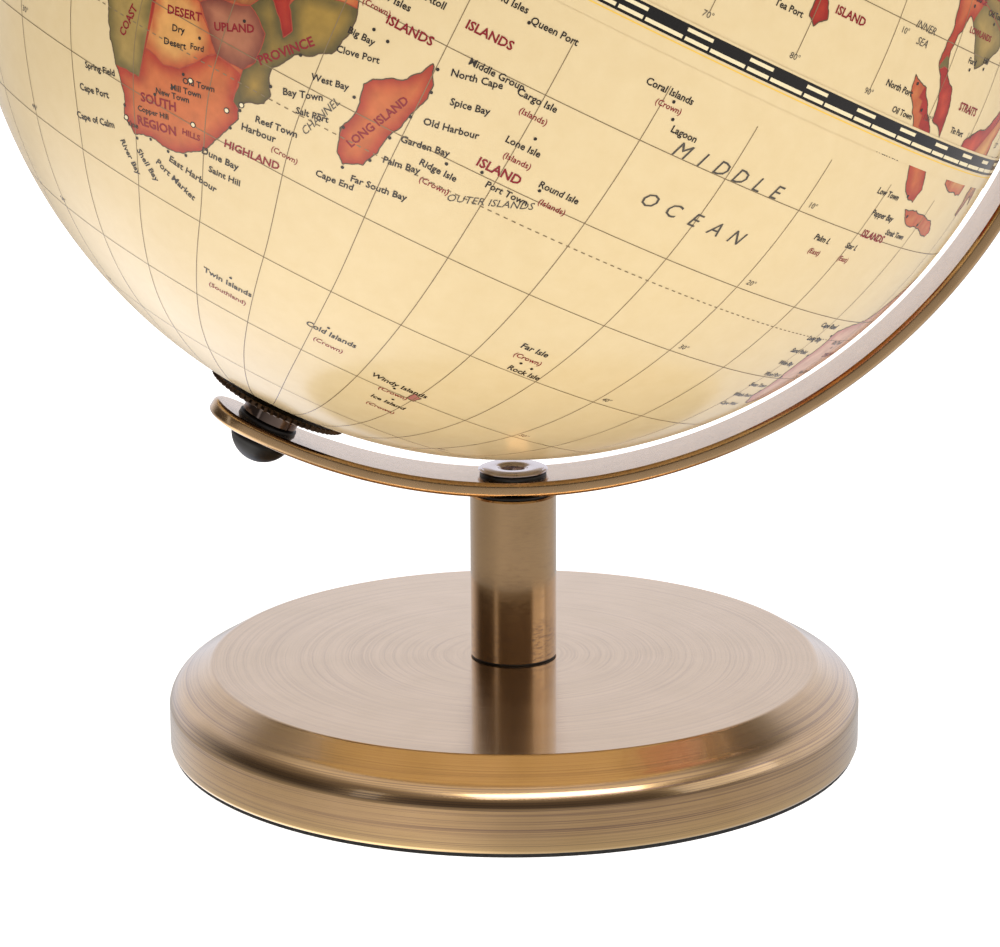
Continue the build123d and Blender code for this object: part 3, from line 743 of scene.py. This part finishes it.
def inside_in_parts(points, ring, part=20000):
    """The same for many points, a part at a time, to spare memory."""
    return np.concatenate([inside(points[k:k + part], ring) for k in range(0, len(points), part)])


coasts = [roughened(ring, 7 + k) for k, ring in enumerate(number_rings(outlines))]
borders = [(ink, roughened(ring, 70 + k, rounds=2, wander=0.06))
           for k, (ink, ring) in enumerate(keyed_rings(countries))]
seed_list = keyed_rings(seeds)
seed_inks = np.array([ink for ink, place in seed_list])
seed_places = np.array([place[0] for ink, place in seed_list])
palette = sorted(inks)
fill_tones = np.array([linear(inks[key]) for key in palette])
edge_tones = np.array([linear(edge_inks[key]) for key in palette])


def unit(lonlat):
    """The direction of each place from the middle of the ball."""
    a, b = np.radians(lonlat[:, 0]), np.radians(lonlat[:, 1])
    return np.stack([np.cos(b) * np.cos(a), np.cos(b) * np.sin(a), np.sin(b)], 1)


def nearest_seed(lonlat):
    """Index of the seed nearest to each place, after a slow sideways sway that bends the borders."""
    sway = np.stack([np.sin(lonlat[:, 1] * 0.5) * 1.1, np.sin(lonlat[:, 0] * 0.4) * 1.1], 1)
    return (unit(lonlat + sway) @ unit(seed_places).T).argmax(1)


def region_of(lonlat):
    """A number for each place's country: its ring, or past the rings the seed nearest to it."""
    region = 100 + nearest_seed(lonlat)
    for k, (ink, ring) in list(enumerate(borders))[::-1]:
        region[inside_in_parts(lonlat, ring)] = k
    return region


def ink_of(region):
    """The place in the palette of each region's ink."""
    letters = np.array([ink for ink, ring in borders] + ["g"] * (100 - len(borders)) + list(seed_inks))
    return np.searchsorted(palette, letters[region])


def flat_lands(side):
    """Triangles of one hemisphere's lands in plan, with every coast and ring border as an edge."""
    step = 1.15
    lines = [plan(ring, side) for ring in coasts] + [plan(ring, side) for ink, ring in borders]
    points, edges, start = [], [], 0
    for line in lines:
        n = len(line)
        points.append(line)
        edges += [(start + k, start + (k + 1) % n) for k in range(n)]
        start += n
    circle = np.radians(np.arange(0, 360, 0.75))
    points.append(np.stack([89.3 * np.cos(circle), 89.3 * np.sin(circle)], 1))
    edges += [(start + k, start + (k + 1) % len(circle)) for k in range(len(circle))]
    rows, columns = np.meshgrid(np.arange(-90, 90, step * 0.87), np.arange(-90, 90, step), indexing="ij")
    columns = columns + (np.arange(rows.shape[0]) % 2)[:, None] * step / 2
    grid = np.stack([columns.ravel(), rows.ravel()], 1)
    away = np.hypot(grid[:, 0], grid[:, 1])
    points.append(grid[(away < 88.8) & (away > 4)])
    flat = np.concatenate(points)
    out = geometry.delaunay_2d_cdt([Vector(p) for p in flat], edges, [], 0, 1e-5)
    return np.array([tuple(v) for v in out[0]]), np.array([f[:3] for f in out[2]])


def lands(side, half):
    """The land skin of one hemisphere: triangles whose middle is on land, coloured by country, and by how
    near each corner is to a coast or border."""
    flat, faces = flat_lands(side)
    middles = unplan(flat[faces].mean(1), side)
    keep_face = np.hypot(*flat[faces].mean(1).T) < 89.3
    faces, middles = faces[keep_face], middles[keep_face]
    plan_middles = plan(middles, side)
    on_land = np.zeros(len(faces), bool)
    for ring in coasts:
        on_land |= inside_in_parts(plan_middles, plan(ring, side))
    faces, middles = faces[on_land], middles[on_land]
    region = region_of(middles)
    used, faces = np.unique(faces, return_inverse=True)
    faces = faces.reshape(-1, 3)
    places = unplan(flat[used], side)
    sides = np.sort(np.concatenate([faces[:, [0, 1]], faces[:, [1, 2]], faces[:, [2, 0]]]), 1)
    owner = np.tile(np.arange(len(faces)), 3)
    order = np.lexsort((sides[:, 1], sides[:, 0]))
    sides, owner = sides[order], owner[order]
    same = (sides[1:] == sides[:-1]).all(1)
    shared = np.zeros(len(sides), bool)
    shared[1:] |= same
    shared[:-1] |= same
    frontier = np.flatnonzero(same)[region[owner[:-1][same]] != region[owner[1:][same]]]
    rim = np.concatenate([sides[~shared], sides[frontier]])
    rim = rim[(np.abs(places[rim, 1]) > 0.9).all(1)]
    spots = on_ball(places[:, 0], places[:, 1], land_lift)
    tree_of_rim = KDTree(len(rim))
    for k, spot in enumerate(spots[rim].mean(1)):
        tree_of_rim.insert(spot, k)
    tree_of_rim.balance()
    depth = np.array([tree_of_rim.find(spot)[2] for spot in spots])
    share = np.clip(depth / 2.6, 0, 1)
    share = (share * share * (3 - 2 * share))[faces][..., None]
    ink = ink_of(region)
    tones = edge_tones[ink][:, None] * (1 - share) + fill_tones[ink][:, None] * share
    made = piece_from(half + "_printed_lands", spots, faces, printed_land_ink, 80.0)
    shades = made.data.color_attributes.new("ink", "FLOAT_COLOR", "CORNER")
    shades.data.foreach_set("color", tones.reshape(-1).astype(np.float32))
    spread_plan = made.data.uv_layers.new(name="OFBake")
    spread_plan.uv.foreach_set("vector", (0.5 + flat[used][faces] / 184).reshape(-1).astype(np.float32))
    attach(made, "ball")
    return [places[pair] for pair in sides[~shared]], [places[pair] for pair in sides[frontier]]


# Offset inks on coated paper under varnish: each land's own tone, with the paper's mottle and the same gloss.
printed_land_ink = bpy.data.materials.new("printed_land_ink")
printed_land_ink.use_nodes = True
tree = printed_land_ink.node_tree
shader = tree.nodes["Principled BSDF"]
mottle = add(tree, "TexNoise", {"Vector": add(tree, "TexCoord").outputs["Object"], "Scale": 420.0,
                                "Detail": 5.0})
shade = add(tree, "MapRange", {0: mottle.outputs[0], 1: 0.3, 2: 0.7, 3: 0.66, 4: 0.84})
ink_tone = add(tree, "Attribute", attribute_name="ink")
tone = add(tree, "VectorMath", {0: ink_tone.outputs["Color"], "Scale": shade.outputs[0]}, operation="SCALE")
tree.links.new(tone.outputs[0], shader.inputs["Base Color"])
varnish(shader)


def line_ink(name, colour):
    """One flat printing ink under the varnish."""
    material = bpy.data.materials.new(name)
    material.use_nodes = True
    shader = material.node_tree.nodes["Principled BSDF"]
    shader.inputs["Base Color"].default_value = linear(colour)
    varnish(shader)
    return material


def ribbons(name, lines, width, lift, material):
    """Thin printed lines: each run of (longitude, latitude) points is widened by half the width to both
    sides, square to its own direction and flat on the ball."""
    points, faces, start = [], [], 0
    for line in lines:
        spots = on_ball(line[:, 0], line[:, 1], lift)
        ahead = np.gradient(spots, axis=0)
        out = spots - np.array([0.0, 0.0, ball_height])
        side = np.cross(ahead, out)
        side *= width / 2 / np.linalg.norm(side, axis=1)[:, None]
        points.append(np.stack([spots + side, spots - side], 1).reshape(-1, 3))
        k = start + 2 * np.arange(len(spots) - 1)
        faces.append(np.stack([k, k + 2, k + 3, k + 1], 1))
        start += 2 * len(spots)
    made = piece_from(name, np.concatenate(points), np.concatenate(faces), material, 80.0)
    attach(made, "ball")
    return made


# Dark brown line ink, printed fine: it closes each land with a crisp edge.
coast_ink = line_ink("coast_ink", "#54422f")
# Brick-red line ink, printed fine: a soft line between two countries.
border_ink = line_ink("border_ink", "#973f2b")
for side, half in ((1, "north"), (-1, "south")):
    shore, frontier = lands(side, half)
    ribbons(half + "_coast_lines", shore, 0.2, 0.035, coast_ink)
    ribbons(half + "_border_lines", frontier, 0.14, 0.035, border_ink)

# ---------------------------------------------------------------- graticule
# Fine grey lines every ten degrees, with the tropics dotted, in the same print.

# Brown-grey line ink: the net shows, but stays behind the names.
graticule_ink = line_ink("graticule_ink", "#776547")
parallels = [10.1, 19.7, 29.3, 39.8, 51.0, 62.5, 74.0]
tropic = 22.6
all_round = np.arange(0, 360.5, 1.0)
meridian_run = {1: np.linspace(3.0, 83.0, 60), -1: np.linspace(-4.4, -83.0, 60)}


def eased(value, start, end):
    """From 0 at start to 1 at end, level at both."""
    share = np.clip((value - start) / (end - start), 0, 1)
    return share * share * (3 - 2 * share)


def askew(lon, lat):
    """How far east of its longitude a meridian is printed: the southern sheet is stretched south of the warm
    lands, most of all at 20 degrees east."""
    near = math.exp(-(((lon - 20 + 180) % 360 - 180) / 26) ** 2)
    return 0.4 + near * (2.4 * eased(-lat, 22, 40) + 2.0 * eased(-lat, 55, 75))


graticule = [np.stack([all_round, all_round * 0 + side * lat], 1) for lat in parallels for side in (1, -1)]
graticule += [np.stack([lon + askew(lon, run), run], 1) for lon in range(0, 360, 10)
              for run in meridian_run.values()]
ribbons("graticule_lines", graticule, 0.15, 0.045, graticule_ink)
dots = [np.array([[lon, side * tropic], [lon + 0.45, side * tropic]]) for lon in np.arange(0, 360, 0.9)
        for side in (1, -1)]
ribbons("tropic_dots", dots, 0.2, 0.045, graticule_ink)

# ---------------------------------------------------------------- equator band
# The seam between the two halves is hidden by a narrow paper tape, printed with a ruler of black and cream
# blocks, a second row of long dashes and a thin yellow line.

tape_low, tape_high = -3.5, 2.6
tape_outer = 100.14
blocks = 52
band_shift = 0.5
tape_inner = 100.04
tape_rows = np.linspace(tape_low, tape_high, 9)
tape_line = [(math.sqrt(tape_outer ** 2 - h ** 2), h) for h in tape_rows]
tape_line += [(math.sqrt(tape_inner ** 2 - h ** 2), h) for h in tape_rows[::-1]]
tape = turned("equator_tape_skin", tape_line, cream_sea_print, 360, 30.0, lambda p: on_axis(p, 1, print_tilt))
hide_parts("equator_tape")
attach(tape, "ball")


def strips(name, spans, low, high, lift, material):
    """Printed blocks along the equator between two latitudes, each span given by its two longitudes."""
    runs = [np.linspace(start, end, max(2, int((end - start) / 1.2) + 1)) for start, end in spans]
    middle = (low + high) / 2 + band_shift
    width = math.radians(high - low) * ball_radius
    return ribbons(name, [np.stack([run, run * 0 + middle], 1) for run in runs], width, lift, material)


# Dense black, bare cream and dull yellow on paper tape: a high-contrast ruler.
band_black = line_ink("band_black", "#100f10")
band_cream = line_ink("band_cream", "#d8caa4")
yellow_line = line_ink("yellow_line", "#d9b14a")
strips("band_ground", [(0, 360.01)], -0.95, 0.75, 0.155, band_black)
pitch = 360 / blocks
strips("band_blocks", [(k * pitch, k * pitch + 2.75) for k in range(blocks)], 0.14, 0.48, 0.17, band_cream)
strips("band_dashes", [(k * pitch + at, k * pitch + at + run) for k in range(blocks)
                       for at, run in ((0.12, 2.5), (2.87, 3.9))], -0.69, -0.34, 0.17, band_cream)
strips("band_yellow_line", [(0, 360.01)], -1.30, -1.16, 0.155, yellow_line)

# ---------------------------------------------------------------- lettering
# Names are printed along the parallels in black, with bold dark-red capitals for lands and slanted capitals
# for seas. All the words are general ones. Small dots mark the towns.

word_shapes = {}


def word_shape(text, slant, weight, spread):
    """A word as flat triangles, one unit tall, centred on its own middle."""
    key = (text, slant, weight, spread)
    if key not in word_shapes:
        letters = bpy.data.curves.new("word", "FONT")
        letters.body = text
        letters.shear = slant
        letters.offset = weight
        letters.space_character = spread
        letters.resolution_u = 2
        letters.align_x = "CENTER"
        letters.align_y = "CENTER"
        holder = bpy.data.objects.new("word", letters)
        mesh = bpy.data.meshes.new_from_object(holder)
        mesh.calc_loop_triangles()
        points = np.array([v.co[:2] for v in mesh.vertices]).reshape(-1, 2)
        triangles = np.array([t.vertices[:] for t in mesh.loop_triangles]).reshape(-1, 3)
        a, b, c = points[triangles].transpose(1, 0, 2)
        first, second = b - a, c - a
        turned_over = first[:, 0] * second[:, 1] - first[:, 1] * second[:, 0] < 0
        triangles[turned_over] = triangles[turned_over][:, ::-1]
        word_shapes[key] = points, triangles
        bpy.data.objects.remove(holder)
        bpy.data.meshes.remove(mesh)
        bpy.data.curves.remove(letters)
    return word_shapes[key]


def lay_flat(points, lon, lat, heading, lift):
    """Flat points laid on the ball at a place: x runs along the heading, counted up from east."""
    c, s = math.cos(math.radians(heading)), math.sin(math.radians(heading))
    east = points[:, 0] * c - points[:, 1] * s
    north = points[:, 0] * s + points[:, 1] * c
    step = math.degrees(1 / ball_radius)
    middle = on_ball(lon, lat, lift)
    to_east = on_ball(lon + 0.01, lat, lift) - middle
    to_north = on_ball(lon, lat + 0.01, lift) - middle
    to_east /= np.linalg.norm(to_east)
    to_north /= np.linalg.norm(to_north)
    spots = middle + east[:, None] * to_east + north[:, None] * to_north
    out = spots - np.array([0.0, 0.0, ball_height])
    scale = (ball_radius + lift) / np.linalg.norm(out, axis=1)
    return np.array([0.0, 0.0, ball_height]) + out * scale[:, None]


def lettering(name, labels, material, slant=0.0, weight=0.0, spread=1.0, lift=0.06):
    """All the labels of one ink as one piece. A label is (text, longitude, latitude, size, heading)."""
    points, faces, start = [], [], 0
    for text, lon, lat, size, heading in labels:
        shape, triangles = word_shape(text, slant, weight, spread)
        points.append(lay_flat(shape * size, lon, lat, heading, lift))
        faces.append(triangles + start)
        start += len(shape)
    made = piece_from(name, np.concatenate(points), np.concatenate(faces), material, 80.0)
    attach(made, "ball")


# Letter inks: warm black, dark maroon for lands and soft grey for seas.
black_ink = line_ink("black_letter_ink", "#2a231e")
red_ink = line_ink("red_letter_ink", "#7c161e")
grey_ink = line_ink("grey_letter_ink", "#4c453c")


def labels(text):
    """Labels from text: each is its words, then longitude, latitude, size and heading."""
    entries = [part.split() for part in text.split("/")]
    return [(" ".join(entry[:-4]), *map(float, entry[-4:])) for entry in entries]


near_black = labels("""
Twin Islands 37.6 -46.2 1.9 0 / Cold Islands 53.8 -46.0 1.9 0 / Windy Islands 66.9 -49.4 1.9 0
/ Ice Island 68.2 -53.6 1.8 0 / Far Isle 76.3 -35.6 1.9 0 / Rock Isle 78.0 -39.2 1.8 0
/ Coral Islands 70.6 -4.9 1.7 0 / Lagoon 74.0 -7.9 1.7 0 / Palm I. 96.0 -11.9 1.6 0
/ Star I. 101.0 -11.6 1.5 0 / Cape of Calm 15.4 -35.2 1.8 16 / Cape Port 15.2 -32.0 1.8 14
/ Spring Field 16.0 -29.3 1.6 14 / Shell Bay 24.2 -36.6 1.7 -44 / River Bay 21.4 -36.9 1.7 -52
/ Port Market 28.4 -36.4 1.8 -22 / East Harbour 30.6 -34.6 1.8 -6 / Dune Bay 33.6 -31.2 1.8 4
/ Saint Hill 34.6 -32.8 1.7 4 / Harbour 37.0 -26.4 1.8 8 / Reef Town 38.6 -24.9 1.7 8
/ Bay Town 40.0 -20.6 1.7 20 / Old Town 29.2 -25.0 1.5 14 / Mill Town 27.9 -26.3 1.5 14
/ New Town 26.4 -27.5 1.5 14 / Dry 25.4 -20.9 1.6 14 / Desert 25.4 -22.4 1.6 14 / Ford 28.0 -21.6 1.4 14
/ Copper Hill 24.3 -30.4 1.4 14 / Vine 21.6 -33.0 1.4 14 / North Cape 54.2 -11.6 1.7 12
/ Spice Bay 54.8 -14.2 1.7 12 / Old Harbour 54.2 -16.9 1.7 12 / Garden Bay 52.8 -19.6 1.7 10
/ Palm Bay 51.6 -22.4 1.7 10 / Cape End 46.2 -27.1 1.7 6 / Far South Bay 50.6 -25.7 1.7 8
/ West Bay 42.0 -18.2 1.6 12 / Salt Port 41.6 -22.0 1.6 12 / Clove Port 43.4 -14.6 1.6 12
/ Reef Isles 47.6 -4.6 1.7 0 / Atoll 47.8 -7.0 1.7 0 / Low Isles 44.2 -8.6 1.7 0
/ Sand Isles 53.6 -4.0 1.7 0 / Queen Port 58.4 -4.6 1.7 0 / Middle Group 55.6 -10.4 1.7 0
/ Cargo Isle 60.0 -10.9 1.7 0 / Lone Isle 61.0 -15.4 1.7 0 / Round Isle 66.4 -18.0 1.7 0
/ Port Town 62.0 -20.3 1.7 0 / Ridge Isle 55.0 -21.2 1.7 0 / Big Bay 43.0 -12.9 1.6 0
/ North Port 94.2 4.2 1.6 0 / Oil Town 96.2 2.2 1.5 0 / Tin Port 107.0 2.6 1.5 0
/ West Port 97.2 -1.8 1.6 0 / Low Town 101.0 -5.4 1.6 0 / Pepper Bay 102.4 -7.6 1.6 0
/ Strait Town 107.0 -9.0 1.5 0 / Tea Port 77.6 6.4 1.6 0 / Cape Reef 110.6 -20.8 1.6 0
/ Long Bay 110.6 -22.8 1.6 0 / Sand Point 110.6 -24.8 1.6 0 / Wide Bay 111.2 -26.8 1.6 0
/ Wool Port 111.8 -28.8 1.6 0 / Swan Town 112.4 -30.8 1.6 0 / Whale Point 112.6 -32.8 1.6 0
/ Cape West 113.0 -34.6 1.6 0
""")
near_red = labels("""
(Southland) 37.8 -48.0 1.6 0 / (Crown) 54.2 -47.9 1.6 0 / (Crown) 67.2 -51.3 1.6 0
/ (Crown) 68.4 -55.6 1.6 0 / (Crown) 76.6 -37.1 1.6 0 / (Crown) 71.2 -6.2 1.4 0 / (East) 96.2 -13.4 1.4 0
/ (East) 101.2 -13.1 1.4 0 / (Crown) 55.4 -22.8 1.5 0 / (Islands) 66.6 -19.6 1.5 0
/ (Islands) 60.4 -12.4 1.5 0 / (Crown) 40.4 -27.2 1.4 0 / (Crown) 43.2 -9.9 1.4 0
/ (Islands) 61.2 -16.9 1.5 0
""")
near_lands = labels("""
SOUTH 24.8 -29.0 2.3 14 / REGION 25.0 -31.6 2.3 14 / DESERT 25.6 -19.2 2.0 14 / UPLAND 31.2 -18.0 1.9 24
/ HIGHLAND 37.0 -29.0 2.0 6 / HILLS 29.6 -30.4 1.5 8 / PROVINCE 36.9 -17.6 2.2 46
/ LONG ISLAND 47.7 -19.6 2.0 66 / ISLANDS 46.8 -10.4 2.1 0 / ISLANDS 53.4 -7.5 2.1 0
/ ISLAND 60.2 -18.6 2.3 0 / ISLANDS 103.2 -9.9 2.0 0 / STRAITS 107.2 5.0 2.0 0 / ISLAND 84.4 8.2 2.0 0
/ COAST 19.2 -22.8 1.9 74
""")
near_seas = labels("""
INNER 94.4 10.3 1.9 0 / SEA 94.6 8.9 1.9 0 / OUTER ISLANDS 61.0 -21.9 1.9 22 / CHANNEL 42.4 -21.8 1.9 68
""")


def spaced(text, lon, lat, step, size):
    """A long name letter by letter along its parallel."""
    return [(letter, lon + k * step, lat, size, 0) for k, letter in enumerate(text)]


wide_seas = spaced("MIDDLE", 74.6, -9.4, 2.35, 3.7) + spaced("OCEAN", 74.6, -15.0, 2.75, 3.7)
wide_seas += spaced("GREAT", -165, 12, 5, 5.0) + spaced("OCEAN", -168, 4, 6, 5.0)
wide_seas += spaced("GREAT", -135, -22, 5, 5.0) + spaced("OCEAN", -138, -30, 6, 5.0)
wide_seas += spaced("WEST", -48, 30, 5, 4.5) + spaced("OCEAN", -52, 22, 5.5, 4.5)
wide_seas += spaced("WEST", -22, -18, 5, 4.5) + spaced("OCEAN", -26, -26, 5.5, 4.5)
wide_seas += spaced("POLAR", 150, 80, 14, 3.6) + spaced("SEA", 62, 15, 3, 3.0)
wide_seas += spaced("BAY", 86, 14, 2.6, 3.0)

land_words = ["REGION", "PROVINCE", "REPUBLIC", "HIGHLANDS", "LOWLANDS", "TERRITORY", "KINGDOM", "UNION",
              "PLAINS"]
town_words = ["Port", "Old Town", "New Town", "Market", "Bridge", "Harbour", "Ford", "Mill Town", "East Bay",
              "West Bay", "Castle", "River Town", "Hill", "Springs", "Long Bay", "Cross", "Field", "Wells"]
dice = np.random.default_rng(11)
far_lands, far_towns, town_dots = [], [], []
for lon, lat in seed_places:
    if 10 < lon < 122 and -40 < lat < 12:
        continue
    far_lands.append((dice.choice(land_words), lon, lat, dice.uniform(1.4, 2.2), 0))
    for town in range(3):
        aside = (town - 1) * 3.4 / math.cos(math.radians(lat)) + dice.uniform(-0.8, 0.8)
        down = dice.uniform(1.6, 3.2) * dice.choice((-1, 1))
        if abs(lat + down) > 2.5:
            far_towns.append((dice.choice(town_words), lon + aside, lat + down, 1.5, 0))
            town_dots.append((lon + aside, lat + down - 0.8))
degree_marks = [(str(min(lon, 360 - lon)) + "°", lon + 0.4, 2.7, 1.5, 0) for lon in range(0, 360, 10)]
degree_marks += [(str(10 * (k + 1)) + "°", lon + 1.7, side * (lat - 0.9), 1.5, 0)
                 for lon in (0, 90, 180, 270) for k, lat in enumerate(parallels) for side in (1, -1)]
lettering("black_names", near_black + far_towns, black_ink, weight=0.02)
lettering("red_subtitles", near_red, red_ink, weight=0.012)
lettering("land_names", near_lands + far_lands, red_ink, weight=0.026)
lettering("sea_names", near_seas, grey_ink, slant=0.3)
lettering("ocean_names", wide_seas, grey_ink, slant=0.3)
lettering("degree_marks", degree_marks, grey_ink)

near_towns = number_rings("""
20.4 -32.8 20.2 -31.4 22.4 -34.2 24.4 -33.4 27.0 -33.6 29.4 -32.9 31.8 -31.0 33.9 -27.4 34.4 -25.2 36.7
-21.4 38.4 -17.2 27.2 -24.8 26.2 -26.8 24.2 -28.4 28.0 -20.6 32.0 -16.9 50.6 -12.4 51.0 -14.6 50.3 -17.6
49.4 -20.4 48.6 -23.4 46.4 -25.4 44.9 -21.6 44.7 -18.4 55.4 -20.2 58.8 -19.4 64.6 -18.6 66.6 -50.2 78.2
-38.2 76.4 -38.0 71.4 -5.6 72.2 -7.1 38.0 -45.2 53.0 -45.1 96.4 5.3 98.8 3.2 100.9 -1.8 104.4 -4.9 106.8
-6.8 110.2 -7.3 113.8 -22.0 114.0 -25.2 115.2 -29.0 115.6 -31.8 68.2 -52.5 61.6 -14.2 56.0 -4.9 45.4
-12.2 43.8 -11.8
""")[0].tolist()
ring_step = np.arange(10) * 2 * math.pi / 10
disc = np.concatenate([[[0.0, 0.0]], np.stack([np.cos(ring_step), np.sin(ring_step)], 1)])
disc_faces = np.stack([np.zeros(10, int), 1 + np.arange(10), 1 + (np.arange(10) + 1) % 10], 1)


def spots_of(name, places, radius, lift, material):
    """Small printed dots, each a ten-sided disc."""
    points = np.concatenate([lay_flat(disc * radius, lon, lat, 0, lift) for lon, lat in places])
    faces = np.concatenate([disc_faces + 11 * k for k in range(len(places))])
    made = piece_from(name, points, faces, material, 80.0)
    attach(made, "ball")


spots_of("town_dots", near_towns + town_dots, 0.3, 0.06, black_ink)
capitals = [(20.6, -32.6), (28.2, -25.0), (34.4, -24.6), (29.6, -29.2), (33.0, -25.9)]
spots_of("capital_rings", capitals, 0.55, 0.06, black_ink)
spots_of("capital_dots", capitals, 0.36, 0.07, band_cream)
